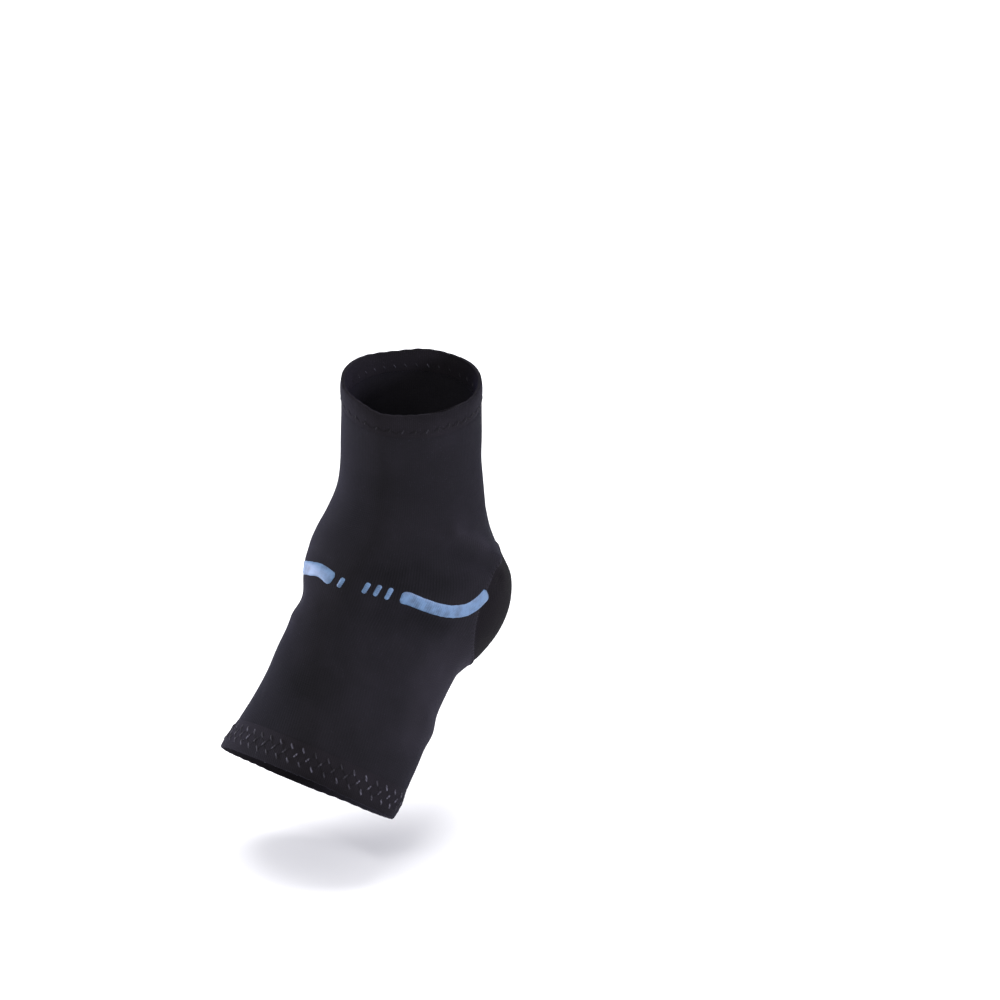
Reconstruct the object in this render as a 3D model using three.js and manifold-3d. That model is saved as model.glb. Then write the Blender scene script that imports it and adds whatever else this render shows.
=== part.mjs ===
// An ankle support: a black stretch sleeve for a left foot, open at the leg and before the toes,
// with a round heel panel, a hem at each opening and a printed light-blue band on each side.
// Millimetres. +Z runs up the leg, -Y towards the toes and +X to the outer side of the foot.
// The origin is the middle of the ankle, and the form is the one that the sleeve has when worn.
import * as THREE from "three";
import { mergeVertices } from "three/addons/utils/BufferGeometryUtils.js";
import Module from "manifold-3d";

// Sizes of the worn form, measured outside.
const LEG_RISE = 67; // from the ankle's middle up to the leg opening
const FOOT_DROP = 120; // from the ankle's middle down to the sole at the foot opening
const TOE_REACH = 90; // from the ankle's middle forwards to the foot opening
const HEEL_REACH = 57; // from the ankle's middle back to the heel
const LEG_WIDTH = 54; // side to side above the ankle
const ANKLE_WIDTH = 70; // side to side over the ankle bones
const FOOT_WIDTH = 90; // side to side at the foot opening
const LEG_INNER_RISE = 14; // how much higher the leg opening stands on the inner side
const LEG_FRONT_DIP = 2; // how much lower the leg opening stands in front

// Sizes of the cloth and of what is sewn into it and printed on it.
const WALL = 2.5; // thickness of the stretch fabric
const LEG_HEM = 10; // width of the hem at the leg opening
const FOOT_HEM = 14; // width of the hem at the foot opening
const HEM_EXTRA = 0.5; // how far the hems stand out from the sleeve
const SEAM_GAP = 0.3; // clearance between two pieces that are sewn edge to edge
const HEEL_PANEL = 55; // diameter of the round heel panel, seen from the side
const HEEL_PANEL_BACK = 41.5; // its middle, behind the ankle's middle
const HEEL_PANEL_DROP = 42; // its middle, below the ankle's middle
const PRINT = 0.4; // thickness of the raised print
const PRINT_GAP = 0.3; // clearance below the print
const BAND_WIDTH = 6; // width of the printed band
const DASH_WIDTH = 2.4; // width of a printed dash
const FOLD_HEIGHT = 1.5; // height of the strongest fold
const FOLD_SPREAD = 8; // how far the widest fold runs out to each side

// How finely the faces are divided.
const SIDES = 48;
const RINGS_PER_SECTION = 2;
const PRINT_STEP = 2;

// Sections from the leg opening (first) to the foot opening (last). front and back are the ends of
// the section in the middle plane, as shares: y of TOE_REACH forwards or HEEL_REACH backwards, z of
// LEG_RISE upwards or FOOT_DROP downwards. lateral and medial are the half widths as shares of the
// size in of, widest is where along the section it is widest, and the rounds are the powers of its
// front and back curves: 2 is an ellipse and more is blunter.
const SECTIONS = [
  { front: [-0.304, 1], back: [0.719, 1], of: LEG_WIDTH,
    lateral: 0.487, medial: 0.504, widest: 0.46, frontRound: 2, backRound: 2 },
  { front: [-0.304, 0.821], back: [0.712, 0.828], of: LEG_WIDTH,
    lateral: 0.489, medial: 0.5, widest: 0.46, frontRound: 2, backRound: 2 },
  { front: [-0.307, 0.642], back: [0.709, 0.657], of: LEG_WIDTH,
    lateral: 0.498, medial: 0.502, widest: 0.46, frontRound: 2, backRound: 2 },
  { front: [-0.314, 0.463], back: [0.705, 0.485], of: LEG_WIDTH,
    lateral: 0.519, medial: 0.515, widest: 0.46, frontRound: 2, backRound: 2 },
  { front: [-0.336, 0.299], back: [0.707, 0.299], of: LEG_WIDTH,
    lateral: 0.552, medial: 0.546, widest: 0.47, frontRound: 2, backRound: 2 },
  { front: [-0.387, 0.164], back: [0.73, 0.104], of: ANKLE_WIDTH,
    lateral: 0.454, medial: 0.463, widest: 0.48, frontRound: 2, backRound: 2 },
  { front: [-0.442, 0.06], back: [0.779, -0.042], of: ANKLE_WIDTH,
    lateral: 0.473, medial: 0.509, widest: 0.49, frontRound: 2.05, backRound: 2 },
  { front: [-0.49, -0.017], back: [0.881, -0.15], of: ANKLE_WIDTH,
    lateral: 0.48, medial: 0.536, widest: 0.5, frontRound: 2.1, backRound: 2.1 },
  { front: [-0.528, -0.058], back: [0.995, -0.258], of: ANKLE_WIDTH,
    lateral: 0.477, medial: 0.533, widest: 0.5, frontRound: 2.1, backRound: 2.1 },
  { front: [-0.554, -0.1], back: [0.991, -0.371], of: ANKLE_WIDTH,
    lateral: 0.469, medial: 0.514, widest: 0.5, frontRound: 2.05, backRound: 2.1 },
  { front: [-0.578, -0.146], back: [0.863, -0.471], of: ANKLE_WIDTH,
    lateral: 0.454, medial: 0.497, widest: 0.52, frontRound: 2, backRound: 2.1 },
  { front: [-0.616, -0.2], back: [0.632, -0.544], of: ANKLE_WIDTH,
    lateral: 0.437, medial: 0.486, widest: 0.54, frontRound: 2, backRound: 2.1 },
  { front: [-0.669, -0.266], back: [0.356, -0.588], of: FOOT_WIDTH,
    lateral: 0.352, medial: 0.364, widest: 0.56, frontRound: 2, backRound: 2.1 },
  { front: [-0.732, -0.34], back: [0.121, -0.655], of: FOOT_WIDTH,
    lateral: 0.388, medial: 0.366, widest: 0.57, frontRound: 2, backRound: 2.2 },
  { front: [-0.793, -0.423], back: [-0.048, -0.742], of: FOOT_WIDTH,
    lateral: 0.433, medial: 0.374, widest: 0.57, frontRound: 2, backRound: 2.2 },
  { front: [-0.862, -0.512], back: [-0.163, -0.83], of: FOOT_WIDTH,
    lateral: 0.473, medial: 0.402, widest: 0.57, frontRound: 2.05, backRound: 2.2 },
  { front: [-0.933, -0.6], back: [-0.276, -0.916], of: FOOT_WIDTH,
    lateral: 0.498, medial: 0.444, widest: 0.57, frontRound: 2.1, backRound: 2.2 },
  { front: [-1, -0.686], back: [-0.382, -1], of: FOOT_WIDTH,
    lateral: 0.509, medial: 0.491, widest: 0.57, frontRound: 2.15, backRound: 2.2 },
];

// Soft folds and hollows of the worn cloth. A fold follows its points, each a section number and an
// angle in degrees from the front over the outer side. rise is a share of FOLD_HEIGHT, outwards, and
// spread is a share of FOLD_SPREAD.
const FOLDS = [
  { points: [[5.2, 88], [5.9, 106], [6.9, 127]], rise: 0.8, spread: 0.55 },
  { points: [[10.2, 64], [10.5, 78], [10.6, 92]], rise: -1, spread: 0.9 },
  { points: [[10.5, -24], [10.6, -45], [10.6, -70]], rise: -0.9, spread: 0.7 },
  { points: [[0.5, 36], [2.5, 34], [4.5, 31], [6.7, 29], [8.9, 27], [10.9, 27]], rise: 0.45, spread: 1 },
  { points: [[3.4, 146], [4.8, 144], [6.0, 142]], rise: -0.5, spread: 0.9 },
  { points: [[3.4, -146], [4.8, -144], [6.0, -142]], rise: -0.5, spread: 0.9 },
  { points: [[13.7, 104], [14.0, 128], [14.2, 150]], rise: 1, spread: 0.8 },
];

// Paths of the print, each point a section number and an angle in degrees as for the folds.
const BANDS = {
  lateral_band: [
    [8.85, 55], [8.92, 60.5], [9.1, 67.5], [9.25, 76], [9.3, 83], [9.25, 89], [9.12, 94.5], [8.86, 99.5],
    [8.6, 103.5], [8.35, 106.5],
  ],
  medial_band: [[8.56, 10], [8.3, 3], [8.14, -4], [8.26, -12], [8.44, -22], [8.62, -34], [8.72, -47]],
};
const DASHES = {
  lateral_dash_1: [[9.0, 33], [8.2, 35]],
  lateral_dash_2: [[9.05, 40], [8.25, 42]],
  lateral_dash_3: [[9.15, 47], [8.35, 49]],
  medial_dash_1: [[9.0, 16], [8.2, 18]],
};

const LAST = SECTIONS.length - 1;
const lengthwise = (share) => share * (share < 0 ? TOE_REACH : HEEL_REACH);
const upright = (share) => share * (share < 0 ? FOOT_DROP : LEG_RISE);
const radians = THREE.MathUtils.degToRad;

// A smooth line through one triple of each section.
const lineThrough = (triple) =>
  new THREE.CatmullRomCurve3(SECTIONS.map((row) => new THREE.Vector3(...triple(row))), false, "catmullrom");

const frontLine = lineThrough((row) => [0, lengthwise(row.front[0]), upright(row.front[1])]);
const backLine = lineThrough((row) => [0, lengthwise(row.back[0]), upright(row.back[1])]);
const widthLine = lineThrough((row) => [row.lateral * row.of, row.medial * row.of, row.widest]);
const roundLine = lineThrough((row) => [row.frontRound, row.backRound, 0]);

const rounded = (value, power) => Math.sign(value) * Math.abs(value) ** (2 / power);

// How strongly the tilt of the leg opening is felt, from 1 at the opening to 0 four sections away.
const nearLegOpening = (sections) => Math.max(0, 1 - sections / 4) ** 2;

// A point of the smooth outside. u runs from 0 at the leg opening to 1 at the foot opening.
function smoothPoint(u, angle) {
  const width = widthLine.getPoint(u);
  const round = roundLine.getPoint(u);
  const along = rounded(Math.cos(angle), Math.cos(angle) > 0 ? round.x : round.y);
  const across = rounded(Math.sin(angle), Math.cos(angle) > 0 ? round.x : round.y);
  const reach = along > 0 ? width.z : 1 - width.z;
  const point = frontLine.getPoint(u).lerp(backLine.getPoint(u), width.z - reach * along);
  point.x = across * (across > 0 ? width.x : width.y);
  const lower = (LEG_INNER_RISE / LEG_WIDTH) * point.x + LEG_FRONT_DIP * along;
  point.z -= lower * nearLegOpening(u * LAST);
  return point;
}

function outwards(u, angle) {
  const step = 0.01;
  const down = smoothPoint(Math.min(1, u + step), angle).sub(smoothPoint(Math.max(0, u - step), angle));
  const around = smoothPoint(u, angle + 3 * step).sub(smoothPoint(u, angle - 3 * step));
  return down.cross(around).normalize();
}

const foldLines = FOLDS.map((fold) => ({
  points: fold.points.map(([section, degrees]) => smoothPoint(section / LAST, radians(degrees))),
  rise: fold.rise * FOLD_HEIGHT,
  spread: fold.spread * FOLD_SPREAD,
}));

// How far the folds lift the cloth at a point of the smooth outside.
function foldRise(point) {
  const nearest = new THREE.Vector3();
  let total = 0;
  for (const { points, rise, spread } of foldLines) {
    let distance = Infinity;
    for (let i = 1; i < points.length; i++) {
      new THREE.Line3(points[i - 1], points[i]).closestPointToPoint(point, true, nearest);
      distance = Math.min(distance, nearest.distanceTo(point));
    }
    total += rise * Math.exp(-((distance / spread) ** 2));
  }
  return total;
}

// A point of the folded cloth, out millimetres off its outside.
function clothPoint(u, angle, out) {
  const point = smoothPoint(u, angle);
  return point.addScaledVector(outwards(u, angle), foldRise(point) + out);
}

// The u at a distance from an opening, measured along the cloth at one angle.
function fromLeg(distance, angle) {
  const step = 0.02;
  return (distance * step) / smoothPoint(step, angle).distanceTo(smoothPoint(0, angle));
}

function fromFoot(distance, angle) {
  const step = 0.02;
  return 1 - (distance * step) / smoothPoint(1 - step, angle).distanceTo(smoothPoint(1, angle));
}

function solid(positions, indices) {
  const geometry = new THREE.BufferGeometry();
  geometry.setAttribute("position", new THREE.Float32BufferAttribute(positions, 3));
  return geometry.setIndex(indices);
}

// A ring of cloth between two lines around it, from outer down to inner millimetres off the outside.
function ring(start, end, rings, outer, inner) {
  const positions = [];
  for (const out of [outer, inner]) {
    for (let i = 0; i <= rings; i++) {
      for (let j = 0; j < SIDES; j++) {
        const angle = (2 * Math.PI * j) / SIDES;
        const u = THREE.MathUtils.lerp(start(angle), end(angle), i / rings);
        positions.push(...clothPoint(u, angle, out));
      }
    }
  }
  const at = (layer, i, j) => (layer * (rings + 1) + i) * SIDES + (j % SIDES);
  const indices = [];
  const quad = (a, b, c, d) => indices.push(a, b, c, a, c, d);
  for (let j = 0; j < SIDES; j++) {
    for (let i = 0; i < rings; i++) {
      quad(at(0, i, j), at(0, i + 1, j), at(0, i + 1, j + 1), at(0, i, j + 1));
      quad(at(1, i, j), at(1, i, j + 1), at(1, i + 1, j + 1), at(1, i + 1, j));
    }
    quad(at(0, 0, j), at(0, 0, j + 1), at(1, 0, j + 1), at(1, 0, j));
    quad(at(0, rings, j), at(1, rings, j), at(1, rings, j + 1), at(0, rings, j + 1));
  }
  return solid(positions, indices);
}

// A raised print along a path, with rounded ends and an even width between them.
function printed(path, width) {
  const knots = path.map(([section, degrees]) => new THREE.Vector3(section / LAST, radians(degrees), 0));
  const line = new THREE.CatmullRomCurve3(knots);
  const place = (t) => smoothPoint(line.getPoint(t).x, line.getPoint(t).y);
  let length = 0;
  for (let i = 0; i < 50; i++) length += place(i / 50).distanceTo(place((i + 1) / 50));
  const steps = Math.max(4, Math.ceil(length / PRINT_STEP));
  const positions = [];
  for (let i = 0; i <= steps; i++) {
    const t = i / steps;
    const { x: u, y: angle } = line.getPoint(t);
    const ahead = place(Math.min(1, t + 0.01)).sub(place(Math.max(0, t - 0.01))).normalize();
    const sideways = outwards(u, angle).cross(ahead);
    const downStep = smoothPoint(u + 0.005, angle).sub(smoothPoint(u - 0.005, angle)).divideScalar(0.01);
    const roundStep = smoothPoint(u, angle + 0.01).sub(smoothPoint(u, angle - 0.01)).divideScalar(0.02);
    const fromEnd = Math.min(1, (Math.min(t, 1 - t) * length) / (width / 2) + 0.15);
    const half = (width / 2) * Math.sqrt(1 - (1 - fromEnd) ** 2);
    const uStep = sideways.dot(downStep) / downStep.lengthSq();
    const angleStep = sideways.dot(roundStep) / roundStep.lengthSq();
    for (const [side, out] of [[-1, 1], [0, 1], [1, 1], [1, 0], [0, 0], [-1, 0]]) {
      const aside = side * half;
      const height = PRINT_GAP + out * PRINT;
      positions.push(...clothPoint(u + aside * uStep, angle + aside * angleStep, height));
    }
  }
  const indices = [];
  const quad = (a, b, c, d) => indices.push(a, b, c, a, c, d);
  for (let i = 0; i < steps; i++) {
    for (let k = 0; k < 6; k++) {
      const next = (k + 1) % 6;
      quad(i * 6 + k, (i + 1) * 6 + k, (i + 1) * 6 + next, i * 6 + next);
    }
  }
  const cap = (i, order) => order.forEach(([a, b, c]) => indices.push(i * 6 + a, i * 6 + b, i * 6 + c));
  cap(0, [[0, 4, 5], [0, 1, 4], [1, 3, 4], [1, 2, 3]]);
  cap(steps, [[0, 5, 4], [0, 4, 1], [1, 4, 3], [1, 3, 2]]);
  return solid(positions, indices);
}

const wasm = await Module();
wasm.setup();

function toBody(geometry) {
  const plain = new THREE.BufferGeometry().setAttribute("position", geometry.attributes.position);
  const merged = mergeVertices(plain.setIndex(geometry.index), 1e-4);
  const mesh = new wasm.Mesh({
    numProp: 3,
    vertProperties: new Float32Array(merged.attributes.position.array),
    triVerts: new Uint32Array(merged.index.array),
  });
  return new wasm.Manifold(mesh);
}

function toGeometry(body) {
  const mesh = body.getMesh();
  return solid(Array.from(mesh.vertProperties), Array.from(mesh.triVerts));
}

// A round bar through the heel from side to side, as wide as the heel panel less twice an inset.
function heelBar(inset) {
  const bar = new THREE.CylinderGeometry(HEEL_PANEL / 2 - inset, HEEL_PANEL / 2 - inset, 2 * FOOT_WIDTH, 72);
  bar.rotateZ(Math.PI / 2);
  bar.translate(0, HEEL_PANEL_BACK, -HEEL_PANEL_DROP);
  return toBody(bar);
}

const stretchFabric = new THREE.MeshStandardMaterial({ color: 0x27252a, roughness: 0.85, metalness: 0 });
const hemFabric = new THREE.MeshStandardMaterial({ color: 0x242026, roughness: 0.9, metalness: 0 });
const bluePrint = new THREE.MeshStandardMaterial({ color: 0x86a4cf, roughness: 0.6, metalness: 0 });

const part = new THREE.Group();

function addPiece(name, geometry, material) {
  const piece = new THREE.Mesh(geometry, material);
  piece.name = name;
  part.add(piece);
}

function addSleeve() {
  const start = (angle) => fromLeg(LEG_HEM + SEAM_GAP, angle);
  const end = (angle) => fromFoot(FOOT_HEM + SEAM_GAP, angle);
  const cloth = toBody(ring(start, end, LAST * RINGS_PER_SECTION, 0, -WALL));
  addPiece("sleeve", toGeometry(cloth.subtract(heelBar(0))), stretchFabric);
  addPiece("heel_panel", toGeometry(cloth.intersect(heelBar(SEAM_GAP))), stretchFabric);
}

function addHems() {
  const legHem = ring(() => 0, (angle) => fromLeg(LEG_HEM, angle), 2, HEM_EXTRA, -WALL);
  addPiece("leg_hem", legHem, hemFabric);
  const footHem = ring((angle) => fromFoot(FOOT_HEM, angle), () => 1, 3, HEM_EXTRA, -WALL);
  addPiece("foot_hem", footHem, hemFabric);
}

function addPrint() {
  for (const [name, path] of Object.entries(BANDS)) addPiece(name, printed(path, BAND_WIDTH), bluePrint);
  for (const [name, path] of Object.entries(DASHES)) addPiece(name, printed(path, DASH_WIDTH), bluePrint);
}

addSleeve();
addHems();
addPrint();

export default part;
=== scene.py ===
"""Dresses the ankle support: knit sleeve, heel panel, stitched hems, seam and printed bands.

The form is the one of part.mjs: the same named sizes, sections and folds, in millimetres here and
in metres in the meshes. +Z runs up the leg, -Y to the toes and +X to the outer side of the foot.
"""
import logging
import math
from dataclasses import dataclass, field
from enum import Enum
from typing import Callable, Sequence

import bmesh
import bpy
import numpy as np
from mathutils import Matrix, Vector, noise


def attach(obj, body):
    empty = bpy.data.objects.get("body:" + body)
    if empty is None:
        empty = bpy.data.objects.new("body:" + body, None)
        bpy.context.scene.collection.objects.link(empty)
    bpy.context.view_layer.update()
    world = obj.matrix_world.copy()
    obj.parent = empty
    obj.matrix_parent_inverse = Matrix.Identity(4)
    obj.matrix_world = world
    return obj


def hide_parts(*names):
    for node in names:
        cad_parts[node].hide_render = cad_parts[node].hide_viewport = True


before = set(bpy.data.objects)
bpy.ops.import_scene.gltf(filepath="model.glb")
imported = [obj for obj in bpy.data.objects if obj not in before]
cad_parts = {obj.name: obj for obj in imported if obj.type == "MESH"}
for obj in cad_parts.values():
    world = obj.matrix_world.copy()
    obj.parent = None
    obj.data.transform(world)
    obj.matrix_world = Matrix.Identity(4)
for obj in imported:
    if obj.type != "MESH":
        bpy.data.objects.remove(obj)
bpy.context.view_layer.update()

LOG = logging.getLogger("ankle_support")
MM = 0.001

# Sizes of the worn form, measured outside, in millimetres.
LEG_RISE = 67.0
FOOT_DROP = 120.0
TOE_REACH = 90.0
HEEL_REACH = 57.0
LEG_WIDTH = 54.0
ANKLE_WIDTH = 70.0
FOOT_WIDTH = 90.0
LEG_INNER_RISE = 14.0
LEG_FRONT_DIP = 2.0

# Sizes of the cloth and of what is sewn into it and printed on it, in millimetres.
WALL = 2.5
LEG_HEM = 10.0
FOOT_HEM = 14.0
HEM_EXTRA = 0.5
HEEL_PANEL = 55.0
HEEL_PANEL_BACK = 41.5
HEEL_PANEL_DROP = 42.0
BAND_WIDTH = 6.0
DASH_WIDTH = 2.4
FOLD_HEIGHT = 1.5
FOLD_SPREAD = 8.0
# How much longer round a hem is when worn than lying flat.
HEM_STRETCH = 1.15
# The size that a loop of the hems' and prints' knit is drawn at.
LOOP = 0.9
# How far a loop leans up at its wale's edge, in courses, and how deep the gap between two wales is.
LOOP_LEAN = 1.1
WALE_DIP = 3.6
# The cloth's slight unevenness: its height in millimetres and its changes for each millimetre.
RIPPLE_HEIGHT = 0.3
RIPPLE_RATE = 0.055
# How many sections from the leg opening its tilt is felt.
TILTED_SECTIONS = 4


class Opening(Enum):
    """The two openings of the sleeve."""

    LEG = "leg"
    FOOT = "foot"

    @property
    def end(self) -> float:
        """The opening's place along the cloth."""
        return 0.0 if self is Opening.LEG else 1.0


class Face(Enum):
    """The two pieces that the heel seam parts."""

    SLEEVE = "sleeve"
    HEEL = "heel"


@dataclass(frozen=True)
class Section:
    """One section of the worn form, as shares of the named sizes.

    front and back are its ends in the middle plane, lateral and medial its half widths as shares of
    width, widest the place of the widest point, and the rounds the powers of its two curves.
    """

    front: tuple[float, float]
    back: tuple[float, float]
    width: float
    lateral: float
    medial: float
    widest: float
    front_round: float = 2.0
    back_round: float = 2.0


# From the leg opening (first) to the foot opening (last).
SECTIONS = (
    Section((-0.304, 1), (0.719, 1), LEG_WIDTH, 0.487, 0.504, 0.46),
    Section((-0.304, 0.821), (0.712, 0.828), LEG_WIDTH, 0.489, 0.5, 0.46),
    Section((-0.307, 0.642), (0.709, 0.657), LEG_WIDTH, 0.498, 0.502, 0.46),
    Section((-0.314, 0.463), (0.705, 0.485), LEG_WIDTH, 0.519, 0.515, 0.46),
    Section((-0.336, 0.299), (0.707, 0.299), LEG_WIDTH, 0.552, 0.546, 0.47),
    Section((-0.387, 0.164), (0.73, 0.104), ANKLE_WIDTH, 0.454, 0.463, 0.48),
    Section((-0.442, 0.06), (0.779, -0.042), ANKLE_WIDTH, 0.473, 0.509, 0.49, 2.05),
    Section((-0.49, -0.017), (0.881, -0.15), ANKLE_WIDTH, 0.48, 0.536, 0.5, 2.1, 2.1),
    Section((-0.528, -0.058), (0.995, -0.258), ANKLE_WIDTH, 0.477, 0.533, 0.5, 2.1, 2.1),
    Section((-0.554, -0.1), (0.991, -0.371), ANKLE_WIDTH, 0.469, 0.514, 0.5, 2.05, 2.1),
    Section((-0.578, -0.146), (0.863, -0.471), ANKLE_WIDTH, 0.454, 0.497, 0.52, 2.0, 2.1),
    Section((-0.616, -0.2), (0.632, -0.544), ANKLE_WIDTH, 0.437, 0.486, 0.54, 2.0, 2.1),
    Section((-0.669, -0.266), (0.356, -0.588), FOOT_WIDTH, 0.352, 0.364, 0.56, 2.0, 2.1),
    Section((-0.732, -0.34), (0.121, -0.655), FOOT_WIDTH, 0.388, 0.366, 0.57, 2.0, 2.2),
    Section((-0.793, -0.423), (-0.048, -0.742), FOOT_WIDTH, 0.433, 0.374, 0.57, 2.0, 2.2),
    Section((-0.862, -0.512), (-0.163, -0.83), FOOT_WIDTH, 0.473, 0.402, 0.57, 2.05, 2.2),
    Section((-0.933, -0.6), (-0.276, -0.916), FOOT_WIDTH, 0.498, 0.444, 0.57, 2.1, 2.2),
    Section((-1, -0.686), (-0.382, -1), FOOT_WIDTH, 0.509, 0.491, 0.57, 2.15, 2.2),
)
LAST = len(SECTIONS) - 1


@dataclass(frozen=True)
class Fold:
    """A soft fold or hollow along points of section number and angle in degrees.

    rise is a share of FOLD_HEIGHT, outwards, and spread a share of FOLD_SPREAD. Among the rows of painted
    highlight and shade the rise makes the knit's colour paler or darker in place of its height.
    """

    points: tuple[tuple[float, float], ...]
    rise: float
    spread: float


# The folds that the solids have too.
FOLDS = (
    Fold(((5.2, 88), (5.9, 106), (6.9, 127)), 0.8, 0.55),
    Fold(((10.2, 64), (10.5, 78), (10.6, 92)), -1.0, 0.9),
    Fold(((10.5, -24), (10.6, -45), (10.6, -70)), -0.9, 0.7),
    Fold(((0.5, 36), (2.5, 34), (4.5, 31), (6.7, 29), (8.9, 27), (10.9, 27)), 0.45, 1.0),
    Fold(((3.4, 146), (4.8, 144), (6.0, 142)), -0.5, 0.9),
    Fold(((3.4, -146), (4.8, -144), (6.0, -142)), -0.5, 0.9),
    Fold(((13.7, 104), (14.0, 128), (14.2, 150)), 1.0, 0.8),
)
# Finer creases, only in the visible cloth.
CREASES = (
    Fold(((5.4, 88), (6.0, 106), (6.9, 125)), 0.4, 0.3),
    Fold(((6.1, 84), (6.8, 102), (7.7, 120)), -0.45, 0.4),
    Fold(((9.8, 54), (10.0, 68), (10.1, 82)), -0.4, 0.5),
    Fold(((11.0, 60), (11.5, 78), (11.9, 96)), 0.35, 0.5),
    Fold(((7.6, -62), (7.2, -30), (7.3, 0)), -0.2, 0.4),
    Fold(((11.3, -70), (11.4, -40), (11.7, -12)), 0.25, 0.45),
    Fold(((9.9, 44), (10.4, 30), (10.7, 12)), -0.2, 0.4),
    Fold(((4.6, 172), (4.8, 150), (5.4, 130)), -0.22, 0.35),
    Fold(((6.1, 186), (6.2, 165), (6.6, 148)), -0.22, 0.35),
    Fold(((4.4, -168), (4.7, -148), (5.3, -128)), -0.22, 0.35),
    Fold(((12.6, 176), (12.3, 150), (11.6, 125)), -0.25, 0.5),
    Fold(((12.8, -176), (12.4, -150), (11.8, -122)), -0.25, 0.5),
    Fold(((1.8, 60), (2.3, 84), (3.1, 110)), -0.14, 0.4),
    Fold(((13.4, 62), (13.9, 80), (14.8, 98)), -0.16, 0.5),
)
# Painted highlight and shade on the sleeve: where its knit is drawn paler as a painted highlight (rise
# above
# 0) or darker as painted shade (below 0), on fold crests, in hollows and along edges. FOLD_HEIGHT times the
# rise is added to the sleeve's openness.
PAINTED_SHADING = (
    Fold(((0.5, 18), (2.2, 18)), 0.1, 0.9),
    Fold(((0.6, 134), (2.2, 130)), -0.16, 1.2),
    Fold(((4.8, 130), (6.0, 128)), -0.18, 0.8),
    Fold(((3.2, 8), (5.4, 6)), -0.08, 0.9),
    Fold(((5.8, 58), (7.4, 62)), -0.07, 1.0),
    Fold(((9.0, 12), (10.6, 15)), 0.1, 0.8),
    Fold(((14.3, 6), (15.3, 0), (16.4, -5)), -0.15, 1.2),
    Fold(((5.3, 90), (5.8, 104), (6.3, 116)), 0.25, 0.35),
    Fold(((6.1, 84), (6.8, 102), (7.7, 120)), -0.1, 0.5),
    Fold(((7.7, 38), (7.8, 56), (8.0, 76), (7.7, 90)), -0.16, 0.8),
    Fold(((9.9, 50), (10.0, 66), (10.1, 85)), -0.16, 0.8),
    Fold(((9.7, 30), (12.6, 36)), -0.04, 1.0),
    Fold(((11.4, 84), (12.4, 84)), 0.08, 0.7),
    Fold(((10.8, 97), (11.6, 95), (13.1, 92), (14.3, 91)), 0.2, 1.0),
    Fold(((11.2, 137), (12.5, 130), (13.9, 124)), 0.4, 1.5),
    Fold(((13.0, -12), (15.0, -20), (16.4, -26)), -0.18, 1.2),
)

Path = tuple[tuple[float, float], ...]
# Paths of the prints, each point a section number and an angle in degrees.
LATERAL_BAND: Path = (
    (8.85, 55),
    (8.92, 60.5),
    (9.1, 67.5),
    (9.25, 76),
    (9.3, 83),
    (9.25, 89),
    (9.12, 94.5),
    (8.86, 99.5),
    (8.6, 103.5),
    (8.35, 106.5),
)
MEDIAL_BAND: Path = ((8.56, 10), (8.3, 3), (8.14, -4), (8.26, -12), (8.44, -22), (8.62, -34), (8.72, -47))
DASHES = {
    "lateral_dash_1": ((9.0, 33), (8.6, 34), (8.2, 35)),
    "lateral_dash_2": ((9.05, 40), (8.65, 41), (8.25, 42)),
    "lateral_dash_3": ((9.15, 47), (8.75, 48), (8.35, 49)),
    "medial_dash_1": ((9.0, 16), (8.6, 17), (8.2, 18)),
}


def spline(values: np.ndarray, u: np.ndarray) -> np.ndarray:
    """Runs a smooth line through one row of values for each knot.

    Args:
        values: One row for each knot, evenly spaced from u = 0 to u = 1.
        u: Where the line is wanted.

    Returns:
        One row for each u.
    """
    values = np.asarray(values, float)
    last = len(values) - 1
    padded = np.vstack([2 * values[0] - values[1], values, 2 * values[-1] - values[-2]])
    place = np.clip(np.asarray(u, float), 0, 1) * last
    knot = np.minimum(place.astype(int), last - 1)
    t = (place - knot)[:, None]
    before, start, end, after = (padded[knot + i] for i in range(4))
    first, second = (end - before) / 2, (after - start) / 2
    square = -3 * start + 3 * end - 2 * first - second
    cube = 2 * start - 2 * end + first + second
    return start + first * t + square * t**2 + cube * t**3


def rounded(value: np.ndarray, power: np.ndarray) -> np.ndarray:
    """Raises a sine or cosine to the power that blunts a section's curve."""
    return np.sign(value) * np.abs(value) ** (2 / power)


def near_leg_opening(sections: np.ndarray) -> np.ndarray:
    """Gives how strongly the leg opening's tilt is felt, 1 there and 0 past the tilted sections."""
    return np.maximum(0, 1 - sections / TILTED_SECTIONS) ** 2


def bell(distance: np.ndarray, spread: float) -> np.ndarray:
    """Gives a soft bump of height 1 at distance 0."""
    return np.exp(-((distance / spread) ** 2))


def past_heel_seam(y: float | np.ndarray, z: float | np.ndarray) -> float | np.ndarray:
    """Measures how far a place lies outside the heel panel's circle, seen from the side.

    Args:
        y: The place's y in metres.
        z: The place's z in metres.

    Returns:
        The distance in millimetres, below 0 inside the circle.
    """
    return np.hypot(y / MM - HEEL_PANEL_BACK, z / MM + HEEL_PANEL_DROP) - HEEL_PANEL / 2


def steps_of(points: np.ndarray) -> np.ndarray:
    """Gives the length of each step along a line of points."""
    return np.linalg.norm(np.diff(points, axis=0), axis=1)


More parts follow.
